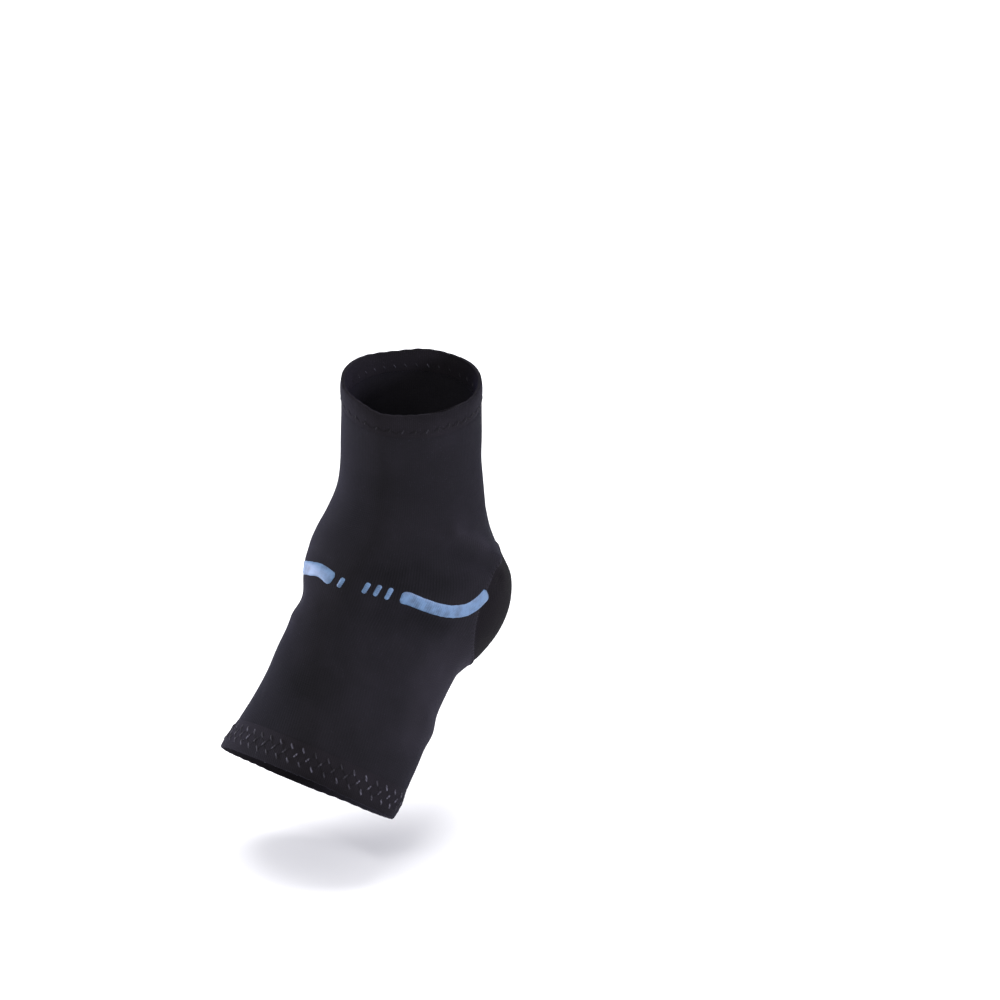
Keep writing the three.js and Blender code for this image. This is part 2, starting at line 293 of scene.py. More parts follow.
class WornForm:
    """The outside of the worn cloth, as points for a share u of its length and an angle around it."""

    def __init__(self) -> None:
        """Turns the sections and folds into lines in millimetres."""
        self.front = np.array([self.in_plane(s.front) for s in SECTIONS])
        self.back = np.array([self.in_plane(s.back) for s in SECTIONS])
        self.widths = np.array([(s.lateral * s.width, s.medial * s.width, s.widest) for s in SECTIONS])
        self.rounds = np.array([(s.front_round, s.back_round) for s in SECTIONS])
        self.folds = [self.fold_line(f) for f in FOLDS]
        self.creases = [self.fold_line(f) for f in FOLDS + CREASES]
        self.painted_shading = [self.fold_line(f) for f in PAINTED_SHADING]

    @staticmethod
    def in_plane(shares: tuple[float, float]) -> tuple[float, float, float]:
        """Turns a section end's shares into a point of the middle plane.

        Args:
            shares: Its y and z as shares of the named sizes.

        Returns:
            The point in millimetres.
        """
        y = shares[0] * (TOE_REACH if shares[0] < 0 else HEEL_REACH)
        z = shares[1] * (FOOT_DROP if shares[1] < 0 else LEG_RISE)
        return (0.0, y, z)

    @staticmethod
    def unit(vectors: np.ndarray) -> np.ndarray:
        """Makes vectors one long."""
        return vectors / np.linalg.norm(vectors, axis=-1, keepdims=True)

    def fold_line(self, fold: Fold) -> tuple[np.ndarray, float, float]:
        """Turns a fold into its points, rise and spread in millimetres.

        Args:
            fold: One row of FOLDS, CREASES or PAINTED_SHADING.

        Returns:
            Points of the smooth outside, then the rise and the spread.
        """
        u = np.array([p[0] / LAST for p in fold.points])
        angle = np.radians([p[1] for p in fold.points])
        return self.smooth(u, angle), fold.rise * FOLD_HEIGHT, fold.spread * FOLD_SPREAD

    def smooth(self, u: np.ndarray, angle: np.ndarray) -> np.ndarray:
        """Gives points of the outside without its folds.

        Args:
            u: 0 at the leg opening to 1 at the foot opening.
            angle: From the front over the outer side, in radians.

        Returns:
            One point for each pair, in millimetres.
        """
        widths, rounds = spline(self.widths, u), spline(self.rounds, u)
        cosine, sine = np.cos(angle), np.sin(angle)
        power = np.where(cosine > 0, rounds[:, 0], rounds[:, 1])
        along, across = rounded(cosine, power), rounded(sine, power)
        reach = np.where(along > 0, widths[:, 2], 1 - widths[:, 2])
        share = (widths[:, 2] - reach * along)[:, None]
        points = spline(self.front, u) * (1 - share) + spline(self.back, u) * share
        points[:, 0] = across * np.where(across > 0, widths[:, 0], widths[:, 1])
        lower = LEG_INNER_RISE / LEG_WIDTH * points[:, 0] + LEG_FRONT_DIP * along
        points[:, 2] -= lower * near_leg_opening(u * LAST)
        return points

    def outward(self, u: np.ndarray, angle: np.ndarray) -> np.ndarray:
        """Gives the outward direction of the smooth outside.

        Args:
            u: 0 at the leg opening to 1 at the foot opening.
            angle: From the front over the outer side, in radians.

        Returns:
            One direction for each pair, one long.
        """
        step = 0.01
        down = self.smooth(np.minimum(1, u + step), angle) - self.smooth(np.maximum(0, u - step), angle)
        around = self.smooth(u, angle + 3 * step) - self.smooth(u, angle - 3 * step)
        return self.unit(np.cross(down, around))

    @staticmethod
    def lift(points: np.ndarray, folds: list[tuple[np.ndarray, float, float]]) -> np.ndarray:
        """Gives how far folds lift the cloth.

        Args:
            points: Points of the smooth outside, in millimetres.
            folds: What fold_line made of each fold.

        Returns:
            One lift for each point, in millimetres.
        """
        total = np.zeros(len(points))
        for line, rise, spread in folds:
            nearest = np.full(len(points), np.inf)
            for start, end in zip(line[:-1], line[1:]):
                run = end - start
                share = np.clip((points - start) @ run / (run @ run), 0, 1)
                gap = np.linalg.norm(points - start - share[:, None] * run, axis=1)
                nearest = np.minimum(nearest, gap)
            total += rise * bell(nearest, spread)
        return total

    def cloth(self, u: np.ndarray, angle: np.ndarray, out: np.ndarray | float) -> np.ndarray:
        """Gives points of the creased cloth.

        Args:
            u: 0 at the leg opening to 1 at the foot opening.
            angle: From the front over the outer side, in radians.
            out: Millimetres off the outside, outwards.

        Returns:
            One point for each pair, in metres.
        """
        u, angle = np.asarray(u, float), np.asarray(angle, float)
        points = self.smooth(u, angle)
        ripple = np.array([noise.noise(Vector(p) * RIPPLE_RATE) for p in points]) * RIPPLE_HEIGHT
        rise = self.lift(points, self.creases) + ripple + out
        return (points + rise[:, None] * self.outward(u, angle)) * MM

    def from_opening(self, opening: Opening, distance: np.ndarray, angle: np.ndarray) -> np.ndarray:
        """Finds places by their distance from an opening, measured along the cloth.

        Args:
            opening: Where the distance starts.
            distance: Millimetres into the cloth at each angle.
            angle: From the front over the outer side, in radians.

        Returns:
            The u of each place.
        """
        step = 0.02
        end = np.full(len(angle), opening.end)
        inside = end + (step if opening is Opening.LEG else -step)
        length = np.linalg.norm(self.smooth(inside, angle) - self.smooth(end, angle), axis=1)
        return end + (inside - end) * distance / length


FORM = WornForm()


def linear(hex_colour: str) -> tuple[float, float, float, float]:
    """Turns an sRGB hex colour into a linear colour.

    Args:
        hex_colour: Six hex digits with a hash sign before them.

    Returns:
        Red, green, blue and alpha for a shader socket.
    """
    shares = [int(hex_colour[i : i + 2], 16) / 255 for i in (1, 3, 5)]
    return (*(s / 12.92 if s <= 0.04045 else ((s + 0.055) / 1.055) ** 2.4 for s in shares), 1.0)


def per_metre(size: float) -> float:
    """Turns the size of a pattern's features in millimetres into the pattern's scale."""
    return 1 / (size * MM)


def add_node(
    tree: bpy.types.NodeTree, kind: str, inputs: dict | None = None, **settings: object
) -> bpy.types.Node:
    """Adds a node with its settings and links.

    Args:
        tree: The material's node tree.
        kind: The node's type.
        inputs: Socket name or number to a value, to the output socket that feeds it, or to the
            node whose first output does.
        settings: The node's own properties.

    Returns:
        The new node.
    """
    node = tree.nodes.new(kind)
    for key, value in settings.items():
        setattr(node, key, value)
    for key, value in (inputs or {}).items():
        source = value.outputs[0] if isinstance(value, bpy.types.Node) else value
        if isinstance(source, bpy.types.NodeSocket):
            tree.links.new(source, node.inputs[key])
        else:
            node.inputs[key].default_value = source
    return node


def new_material(name: str) -> tuple[bpy.types.Material, bpy.types.NodeTree]:
    """Makes an empty material.

    Args:
        name: The real material's name.

    Returns:
        The material and its node tree.
    """
    material = bpy.data.materials.new(name)
    material.use_nodes = True
    material.node_tree.nodes.clear()
    return material, material.node_tree


def knit_courses(tree: bpy.types.NodeTree) -> tuple[bpy.types.Node, bpy.types.Node]:
    """Draws the knit's loops, which lean up and away from the middle of their wale.

    Args:
        tree: The material's node tree.

    Returns:
        How far a place lies from its wale's middle, 0 to 0.5, and how high its loop stands, 0 to 1.
    """
    uv = add_node(tree, "ShaderNodeUVMap", uv_map="UVMap")
    axes = add_node(tree, "ShaderNodeSeparateXYZ", {0: uv})
    across = add_node(tree, "ShaderNodeMath", {0: axes.outputs[0]}, operation="FRACT")
    offset = add_node(tree, "ShaderNodeMath", {0: across, 1: 0.5}, operation="SUBTRACT")
    from_middle = add_node(tree, "ShaderNodeMath", {0: offset}, operation="ABSOLUTE")
    lean = add_node(tree, "ShaderNodeMath", {0: from_middle, 1: LOOP_LEAN}, operation="MULTIPLY")
    leaning = add_node(tree, "ShaderNodeMath", {0: axes.outputs[1], 1: lean}, operation="ADD")
    along = add_node(tree, "ShaderNodeMath", {0: leaning}, operation="FRACT")
    turn = add_node(tree, "ShaderNodeMath", {0: along, 1: math.pi}, operation="MULTIPLY")
    return from_middle, add_node(tree, "ShaderNodeMath", {0: turn}, operation="SINE")


@dataclass(frozen=True)
class KnitFinish:
    """Nylon jersey over foamed rubber: a fine warp of upright loops, black with a violet sheen.

    The UV map counts loops, so one unit of it is one wale across and one course along. The real
    loops are about 0.4 mm and are drawn near 1 mm so that they show. patch and fuzz are the sizes,
    in millimetres, of the soft colour changes and of the fibres that stand up between the loops.
    """

    name: str
    face: str
    groove_shade: str
    pale_and_lit: str
    sheen: float = 0.03
    roughness: float = 0.82
    relief: float = 0.3
    patch: float = 18.18
    fuzz: float = 0.3846

    def material(self) -> bpy.types.Material:
        """Builds the jersey: loops as bump and shade, soft colour changes, and sheen.

        Returns:
            The material, which reads from its point attribute how much paler the cloth is drawn: its base
            tone, a paler band along the heel seam, and painted highlight and shade.
        """
        material, tree = new_material(self.name)
        from_middle, course = knit_courses(tree)
        square = add_node(tree, "ShaderNodeMath", {0: from_middle, 1: 2.0}, operation="POWER")
        dip = add_node(tree, "ShaderNodeMath", {0: square, 1: WALE_DIP}, operation="MULTIPLY")
        wale = add_node(tree, "ShaderNodeMath", {0: 1.0, 1: dip}, operation="SUBTRACT")
        half = add_node(tree, "ShaderNodeMath", {0: course, 1: 0.5}, operation="MULTIPLY")
        raised = add_node(tree, "ShaderNodeMath", {0: half, 1: 0.5}, operation="ADD")
        loop = add_node(tree, "ShaderNodeMath", {0: wale, 1: raised}, operation="MULTIPLY")
        place = add_node(tree, "ShaderNodeTexCoord").outputs["Object"]
        patches = add_node(
            tree, "ShaderNodeTexNoise", {"Vector": place, "Scale": per_metre(self.patch), "Detail": 3.0}
        )
        fuzz = add_node(
            tree, "ShaderNodeTexNoise", {"Vector": place, "Scale": per_metre(self.fuzz), "Detail": 2.0}
        )
        fibres = add_node(tree, "ShaderNodeMath", {0: fuzz, 1: 0.35}, operation="MULTIPLY")
        height = add_node(tree, "ShaderNodeMath", {0: loop, 1: fibres}, operation="ADD")
        # Painted shade: the knit is drawn in its darker groove colour between its loops.
        shades = {0: loop, 6: linear(self.groove_shade), 7: linear(self.face)}
        loops = add_node(tree, "ShaderNodeMix", shades, data_type="RGBA")
        paler = {0: patches, 1: 0.42, 2: 0.8, 3: 0.0, 4: 0.3}
        tone_and_shading = add_node(tree, "ShaderNodeMapRange", paler, clamp=True)
        # The point attribute holds the cloth's base tone, a paler band along the heel seam, and painted
        # highlight and painted shade. It mixes the knit towards its paler colour.
        worn = add_node(tree, "ShaderNodeAttribute", attribute_name="tone_and_shading").outputs["Fac"]
        pale_and_lit = add_node(tree, "ShaderNodeMath", {0: tone_and_shading, 1: worn}, operation="ADD")
        mixed = {0: pale_and_lit, 6: loops.outputs[2], 7: linear(self.pale_and_lit)}
        colour = add_node(tree, "ShaderNodeMix", mixed, data_type="RGBA")
        rough = add_node(
            tree,
            "ShaderNodeMapRange",
            {0: patches, 1: 0.3, 2: 0.7, 3: self.roughness - 0.06, 4: self.roughness + 0.08},
        )
        bump = add_node(
            tree, "ShaderNodeBump", {"Strength": self.relief, "Distance": 0.0004, "Height": height}
        )
        surface = {
            "Base Color": colour.outputs[2],
            "Roughness": rough,
            "Normal": bump,
            "IOR": 1.45,
            "Specular IOR Level": 0.06,
            "Sheen Weight": self.sheen,
            "Sheen Roughness": 0.45,
            "Sheen Tint": linear("#9088d8"),
        }
        shader = add_node(tree, "ShaderNodeBsdfPrincipled", surface)
        add_node(tree, "ShaderNodeOutputMaterial", {"Surface": shader})
        return material


@dataclass(frozen=True)
class ThreadFinish:
    """Twisted polyester sewing thread: a satin lustre broken by its twist.

    twist, worn and faded are the sizes, in millimetres, of the twist's pattern, of the places that
    are worn dull and of the wider spans where the thread has faded.
    """

    name: str
    light: str
    dark: str
    lustre: float = 0.3
    twist: float = 3.125
    worn: float = 6.667
    faded: float = 32.26

    def material(self) -> bpy.types.Material:
        """Builds the thread with its twist as diagonal bands, each a little over 0.5 mm wide.

        Returns:
            The material, in its light colour along the twist's bands as a painted highlight, dark between
            them and where the thread is dull or faded.
        """
        material, tree = new_material(self.name)
        place = add_node(tree, "ShaderNodeTexCoord").outputs["Object"]
        bands = {"Vector": place, "Scale": per_metre(self.twist), "Distortion": 1.5, "Detail": 1.0}
        wave = add_node(tree, "ShaderNodeTexWave", bands, bands_direction="DIAGONAL")
        twist = wave.outputs["Fac"]
        worn = add_node(
            tree, "ShaderNodeTexNoise", {"Vector": place, "Scale": per_metre(self.worn), "Detail": 2.0}
        )
        kept = add_node(tree, "ShaderNodeMapRange", {0: worn, 1: 0.4, 2: 0.62, 3: 0.1, 4: 1.0}, clamp=True)
        faded = add_node(
            tree, "ShaderNodeTexNoise", {"Vector": place, "Scale": per_metre(self.faded), "Detail": 1.0}
        )
        unfaded = {0: faded, 1: 0.42, 2: 0.58, 3: 0.3, 4: 1.0}
        clean = add_node(tree, "ShaderNodeMapRange", unfaded, clamp=True)
        bright = add_node(tree, "ShaderNodeMath", {0: twist, 1: 0.35}, operation="ADD")
        dulled = add_node(tree, "ShaderNodeMath", {0: kept, 1: bright}, operation="MULTIPLY")
        shine = add_node(tree, "ShaderNodeMath", {0: dulled, 1: clean}, operation="MULTIPLY")
        shades = {0: shine, 6: linear(self.dark), 7: linear(self.light)}
        colour = add_node(tree, "ShaderNodeMix", shades, data_type="RGBA")
        bump = add_node(tree, "ShaderNodeBump", {"Strength": 0.5, "Distance": 0.0001, "Height": twist})
        surface = {
            "Base Color": colour.outputs[2],
            "Roughness": 0.55,
            "Normal": bump,
            "IOR": 1.5,
            "Specular IOR Level": self.lustre,
        }
        shader = add_node(tree, "ShaderNodeBsdfPrincipled", surface)
        add_node(tree, "ShaderNodeOutputMaterial", {"Surface": shader})
        return material


@dataclass(frozen=True)
class InkFinish:
    """Screen-printed plastisol ink: satin light blue, uneven over the loops of the knit below it.

    mottle is the size, in millimetres, of the flecks where the ink is thin.
    """

    name: str
    full: str
    thin: str
    mottle: float = 3.846

    def material(self) -> bpy.types.Material:
        """Builds the ink, thinner between the loops and in flecks.

        Returns:
            The material, in its full colour where the ink is thick.
        """
        material, tree = new_material(self.name)
        _, course = knit_courses(tree)
        place = add_node(tree, "ShaderNodeTexCoord").outputs["Object"]
        mottle = add_node(
            tree, "ShaderNodeTexNoise", {"Vector": place, "Scale": per_metre(self.mottle), "Detail": 4.0}
        )
        flecks = add_node(tree, "ShaderNodeMath", {0: mottle, 1: 1.3}, operation="MULTIPLY")
        raised = add_node(tree, "ShaderNodeMath", {0: course, 1: 0.3}, operation="MULTIPLY")
        body = add_node(tree, "ShaderNodeMath", {0: flecks, 1: raised}, operation="ADD")
        cover = add_node(tree, "ShaderNodeMapRange", {0: body, 1: 0.45, 2: 1.0, 3: 0.0, 4: 1.0}, clamp=True)
        shades = {0: cover, 6: linear(self.thin), 7: linear(self.full)}
        colour = add_node(tree, "ShaderNodeMix", shades, data_type="RGBA")
        bump = add_node(tree, "ShaderNodeBump", {"Strength": 0.35, "Distance": 0.0003, "Height": body})
        surface = {"Base Color": colour.outputs[2], "Roughness": 0.52, "Normal": bump, "IOR": 1.5}
        shader = add_node(tree, "ShaderNodeBsdfPrincipled", surface)
        add_node(tree, "ShaderNodeOutputMaterial", {"Surface": shader})
        return material


def deselect_all() -> None:
    """Leaves nothing selected, the solids of the frame included."""
    if bpy.context.object and bpy.context.object.mode != "OBJECT":
        bpy.ops.object.mode_set(mode="OBJECT")
    bpy.ops.object.select_all(action="DESELECT")


def make_active(piece: bpy.types.Object) -> None:
    """Selects one piece alone and makes it the active one.

    Args:
        piece: The piece that the next operator acts on.
    """
    deselect_all()
    piece.select_set(True)
    bpy.context.view_layer.objects.active = piece


def on_whole_mesh(
    piece: bpy.types.Object, operator: Callable[..., object], **settings: object
) -> None:
    """Runs an edit-mode operator on all of a piece's mesh.

    Args:
        piece: The piece to change.
        operator: One of bpy.ops.mesh.
        settings: The operator's own settings.
    """
    make_active(piece)
    bpy.ops.object.mode_set(mode="EDIT")
    bpy.ops.mesh.select_all(action="SELECT")
    operator(**settings)
    bpy.ops.object.mode_set(mode="OBJECT")


def apply_modifier(piece: bpy.types.Object, kind: str, **settings: object) -> None:
    """Adds a modifier and applies it to the mesh.

    Args:
        piece: The piece to change.
        kind: The modifier's type.
        settings: The modifier's own settings.
    """
    make_active(piece)
    modifier = piece.modifiers.new(kind.title(), kind)
    for key, value in settings.items():
        setattr(modifier, key, value)
    bpy.ops.object.modifier_apply(modifier=modifier.name)


def smooth_faces(piece: bpy.types.Object, degrees: float = 40.0) -> None:
    """Shades a piece smooth, with its sharper edges kept."""
    make_active(piece)
    bpy.ops.object.shade_smooth_by_angle(angle=math.radians(degrees))


def wrap_grid(
    name: str,
    columns: int,
    rows: int,
    place: Callable[[np.ndarray, np.ndarray], np.ndarray],
    loops: tuple[float, float],
) -> bpy.types.Object:
    """Bends a flat grid round into cloth and closes the edges that meet.

    Args:
        name: The piece's name.
        columns: Faces around.
        rows: Faces along.
        place: Gives points in metres for shares around and along, both 0 to 1.
        loops: Loops of knit around and along, which the UV map then counts.

    Returns:
        The new piece, at the origin.
    """
    deselect_all()
    bpy.ops.mesh.primitive_grid_add(x_subdivisions=columns, y_subdivisions=rows, size=1.0, calc_uvs=True)
    piece = bpy.context.object
    piece.name = piece.data.name = name
    mesh = piece.data
    flat = np.empty(len(mesh.vertices) * 3)
    mesh.vertices.foreach_get("co", flat)
    flat = flat.reshape(-1, 3)[:, :2] + 0.5
    mesh.vertices.foreach_set("co", place(flat[:, 0], flat[:, 1]).ravel())
    uv = np.empty(len(mesh.loops) * 2)
    layer = mesh.uv_layers[0]
    layer.name = "UVMap"
    layer.data.foreach_get("uv", uv)
    layer.data.foreach_set("uv", (uv.reshape(-1, 2) * loops).ravel())
    on_whole_mesh(piece, bpy.ops.mesh.remove_doubles, threshold=1e-6)
    mesh.update()
    return piece


def face_outwards(piece: bpy.types.Object) -> None:
    """Turns an open tube's faces so that they look away from the middle plane."""
    if sum(p.center.x * p.normal.x for p in piece.data.polygons) < 0:
        on_whole_mesh(piece, bpy.ops.mesh.flip_normals)


def set_tone_and_shading(piece: bpy.types.Object, values: np.ndarray) -> None:
    """Stores how much paler the cloth is drawn, for the knit finish to read: its base tone, a paler band
    along the heel seam, and painted highlight and shade.

    Args:
        piece: The cloth.
        values: One for each point of its mesh, 0 to 1.
    """
    attribute = piece.data.attributes.get("tone_and_shading") or piece.data.attributes.new("tone_and_shading", "FLOAT", "POINT")
    attribute.data.foreach_set("value", np.asarray(values, float))


def finish_piece(piece: bpy.types.Object, material: bpy.types.Material, slot: str, *nodes: str) -> None:
    """Dresses a piece and ties it to the frame.

    Args:
        piece: The finished piece.
        material: Its only material.
        slot: The record's material slot; not used.
        nodes: The solids that it stands for.
    """
    piece.data.materials.clear()
    piece.data.materials.append(material)
    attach(piece, "root")
    if nodes:
        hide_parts(*nodes)
    LOG.info("%s: %d faces", piece.name, len(piece.data.polygons))


def threads(
    name: str, runs: Sequence[np.ndarray], radius: float, closed: bool = False, sides: int = 2
) -> bpy.types.Object:
    """Sews many short runs of thread as one piece.

    Args:
        name: The piece's name.
        runs: The points of each run, in metres.
        radius: The thread's radius in millimetres.
        closed: Whether each run comes back to its start.
        sides: Blender's bevel resolution.

    Returns:
        The threads as one mesh.
    """
    curve = bpy.data.curves.new(name, "CURVE")
    curve.dimensions = "3D"
    curve.bevel_depth = radius * MM
    curve.bevel_resolution = sides
    curve.use_fill_caps = not closed
    for run in runs:
        line = curve.splines.new("POLY")
        line.points.add(len(run) - 1)
        line.points.foreach_set("co", np.hstack([run, np.ones((len(run), 1))]).ravel())
        line.use_cyclic_u = closed
    piece = bpy.data.objects.new(name, curve)
    bpy.context.collection.objects.link(piece)
    make_active(piece)
    bpy.ops.object.convert(target="MESH")
    piece = bpy.context.object
    piece.data.name = name
    smooth_faces(piece, 60)
    return piece


@dataclass
class Sleeve:
    """The knit tube between the hems, and the round heel panel that is let into it."""

    columns: int = 224
    rows: int = 176
    wales: float = 210.0
    courses: float = 170.0
    edge_rows: tuple[float, ...] = (0.0, 0.25, 0.6, 1.2, 2.0)
    seam_lap: float = 2.6
    lap_rise: float = 0.25
    heel_dip: float = 0.25
    edge_dip: float = 0.15
    snap: float = 0.22
    openness: float = 0.22
    seam_rub: float = 0.4
    seam: np.ndarray = field(default_factory=lambda: np.empty((0, 3)))

    def place(self, around: np.ndarray, along: np.ndarray) -> np.ndarray:
        """Puts the flat grid's points on the cloth, close together near the hems.

        Args:
            around: Shares around the limb.
            along: Shares from the leg hem to the foot hem.

        Returns:
            One point for each pair, in metres.
        """
        angle = around * 2 * math.pi
        row = along * self.rows
        near = len(self.edge_rows) - 1
        steps = np.array(self.edge_rows)
        start = FORM.from_opening(Opening.LEG, np.full(len(angle), LEG_HEM), angle)
        end = FORM.from_opening(Opening.FOOT, np.full(len(angle), FOOT_HEM), angle)
        length = self.length(angle)
        from_start = np.interp(row, np.arange(near + 1), steps)
        from_end = np.interp(self.rows - row, np.arange(near + 1), steps)
        middle = (row - near) / (self.rows - 2 * near)
        inner = steps[-1] / length
        share = inner + middle * (1 - 2 * inner)
        share = np.where(row < near, from_start / length, share)
        share = np.where(self.rows - row < near, 1 - from_end / length, share)
        u = start + (end - start) * share
        edge = np.minimum(share, 1 - share) * length
        return FORM.cloth(u, angle, -self.edge_dip * bell(edge, 0.7))

    @staticmethod
    def length(angle: np.ndarray) -> np.ndarray:
        """Measures the cloth from hem to hem.

        Args:
            angle: From the front over the outer side, in radians.

        Returns:
            The length at each angle, in millimetres.
        """
        stations = np.linspace(0.03, 0.93, 12)
        table_angles = np.linspace(0, 2 * math.pi, 49)
        lines = [FORM.smooth(np.full(49, s), table_angles) for s in stations]
        total = sum(np.linalg.norm(b - a, axis=1) for a, b in zip(lines[:-1], lines[1:]))
        return np.interp(angle % (2 * math.pi), table_angles, total)

    def cut_seam(self, tube: bpy.types.Object) -> None:
        """Cuts the heel panel's seam line into the tube's faces and keeps its points.

        Args:
            tube: The whole cloth between the hems.
        """
        cloth = bmesh.new()
        cloth.from_mesh(tube.data)
        gap = {v: float(past_heel_seam(v.co.y, v.co.z)) for v in cloth.verts}
        moves: dict[bmesh.types.BMVert, tuple[float, Vector]] = {}
        for edge in cloth.edges:
            a, b = edge.verts
            if gap[a] * gap[b] < 0:
                share = gap[a] / (gap[a] - gap[b])
                cross = a.co.lerp(b.co, share)
                for vert, near in ((a, share), (b, 1 - share)):
                    if near < self.snap and (vert not in moves or near < moves[vert][0]):
                        moves[vert] = (near, cross)
        for vert, (_, cross) in moves.items():
            vert.co = cross
            gap[vert] = 0.0
        on_seam = set(moves)
        for edge in list(cloth.edges):
            a, b = edge.verts
            if gap.get(a, 0) * gap.get(b, 0) < 0:
                _, vert = bmesh.utils.edge_split(edge, a, gap[a] / (gap[a] - gap[b]))
                on_seam.add(vert)
                gap[vert] = 0.0
        bmesh.ops.connect_verts(cloth, verts=list(on_seam))
        cloth.to_mesh(tube.data)
        cloth.free()
        points = np.array([v.co for v in tube.data.vertices])
        self.seam = self.seam_line(points[np.abs(past_heel_seam(points[:, 1], points[:, 2])) < 0.02])

    @staticmethod
    def seam_line(points: np.ndarray) -> np.ndarray:
        """Puts the seam's points in order around the heel and evens their spacing.

        Args:
            points: The tube's points on the seam, in metres.

        Returns:
            Points of the closed seam line, about 0.5 mm apart, in metres.
        """
        order = [0]
        left = set(range(1, len(points)))
        while left:
            rest = np.array(sorted(left))
            step = rest[np.argmin(np.linalg.norm(points[rest] - points[order[-1]], axis=1))]
            if np.linalg.norm(points[step] - points[order[-1]]) > 6 * MM:
                break
            order.append(int(step))
            left.remove(int(step))
        ring = points[order + [order[0]]]
        run = np.concatenate([[0], np.cumsum(steps_of(ring))])
        count = int(run[-1] / (0.5 * MM))
        even = np.linspace(0, run[-1], count, endpoint=False)
        line = np.stack([np.interp(even, run, ring[:, i]) for i in range(3)], axis=1)
        for _ in range(6):
            line = 0.5 * line + 0.25 * (np.roll(line, 1, 0) + np.roll(line, -1, 0))
        return line

    def part_of(self, tube: bpy.types.Object, face: Face, name: str) -> bpy.types.Object:
        """Takes the sleeve or the heel panel out of the cut tube.

        Args:
            tube: The tube with the seam cut in.
            face: Which of the two to keep.
            name: The new piece's name.

        Returns:
            The piece, shaped along its seam and given its wall.
        """
        piece = tube.copy()
        piece.data = tube.data.copy()
        piece.name = piece.data.name = name
        bpy.context.collection.objects.link(piece)
        cloth = bmesh.new()
        cloth.from_mesh(piece.data)
        inside = face is Face.HEEL
        centres = [(f, f.calc_center_median()) for f in cloth.faces]
        gone = [f for f, centre in centres if (past_heel_seam(centre.y, centre.z) < 0) != inside]
        bmesh.ops.delete(cloth, geom=gone, context="FACES")
        cloth.normal_update()
        points = np.array([v.co for v in cloth.verts])
        normals = np.array([v.normal for v in cloth.verts])
        off = np.abs(past_heel_seam(points[:, 1], points[:, 2]))
        tone_and_shading = self.seam_rub * bell(off, 2.2)
        if inside:
            rise = -self.heel_dip * bell(off, 1.6)
        else:
            rise = self.lap_rise / (1 + np.exp((off - self.seam_lap) / 0.6))
            # Painted highlight and shade: the sleeve's colour is made paler or darker along the rows of
            # painted shading, on top of its base tone and the paler band along the heel seam.
            tone_and_shading = tone_and_shading + self.openness + FORM.lift(points / MM, FORM.painted_shading)
        for vert, place in zip(cloth.verts, points + normals * rise[:, None] * MM):
            vert.co = place
        cloth.to_mesh(piece.data)
        cloth.free()
        set_tone_and_shading(piece, np.clip(tone_and_shading, 0, 1))
        apply_modifier(piece, "SOLIDIFY", thickness=WALL * MM, offset=-1.0, use_even_offset=False)
        smooth_faces(piece, 50)
        return piece

    def build(
        self, knit: KnitFinish, heel_knit: KnitFinish, thread: ThreadFinish
    ) -> list[bpy.types.Object]:
        """Makes the sleeve, the heel panel and the seam between them.

        Args:
            knit: The sleeve's cloth.
            heel_knit: The heel panel's cloth.
            thread: The seam's thread.

        Returns:
            The three pieces.
        """
        tube = wrap_grid("tube", self.columns, self.rows, self.place, (self.wales, self.courses))
        face_outwards(tube)
        self.cut_seam(tube)
        sleeve = self.part_of(tube, Face.SLEEVE, "sleeve_cloth")
        heel = self.part_of(tube, Face.HEEL, "heel_cloth")
        seam_threads = self.sew_seam(tube)
        bpy.data.objects.remove(tube)
        finish_piece(sleeve, knit.material(), "stretch_fabric", "sleeve")
        finish_piece(heel, heel_knit.material(), "stretch_fabric", "heel_panel")
        finish_piece(seam_threads, thread.material(), "stretch_fabric")
        return [sleeve, heel, seam_threads]

    def sew_seam(self, tube: bpy.types.Object) -> bpy.types.Object:
        """Sews short slanted threads across the lapped edge.

        Args:
            tube: The cloth that the seam was cut into.

        Returns:
            The threads as one piece.
        """
        normals = self.seam_normals(tube)
        ahead = WornForm.unit(np.roll(self.seam, -1, 0) - np.roll(self.seam, 1, 0))
        across = WornForm.unit(np.cross(normals, ahead))
        aside = self.seam + across * MM
        across *= np.where(past_heel_seam(aside[:, 1], aside[:, 2]) > 0, 1, -1)[:, None]
        runs = []
        pitch = 4
        for i in range(0, len(self.seam) - pitch, pitch):
            j = i + pitch // 2
            start = self.seam[i] + across[i] * (self.seam_lap - 0.7) * MM
            start = start + normals[i] * (self.lap_rise - 0.1) * MM
            end = self.seam[j] - across[j] * 0.9 * MM - normals[j] * 0.3 * MM
            middle = (start + end) / 2 + normals[i] * 0.32 * MM
            near = start * 0.75 + end * 0.25 + normals[i] * 0.27 * MM
            runs.append(np.array([start, near, middle, end]))
        return threads("heel_seam_threads", runs, 0.17, sides=1)

    def seam_normals(self, tube: bpy.types.Object) -> np.ndarray:
        """Gives the cloth's outward direction along the seam line.

        Args:
            tube: The cloth that the seam was cut into.

        Returns:
            One direction for each point of the seam, one long.
        """
        normals = []
        for point in self.seam:
            found, _, normal, _ = tube.closest_point_on_mesh(Vector(point))
            normals.append(tuple(normal) if found else (1.0, 0.0, 0.0))
        return WornForm.unit(np.array(normals))


# A stitch's points: shares of its length, and millimetres off the cloth.
STITCH_ARC = ((-0.5, -0.4), (-0.36, -0.14), (0.0, -0.02), (0.36, -0.14), (0.5, -0.4))


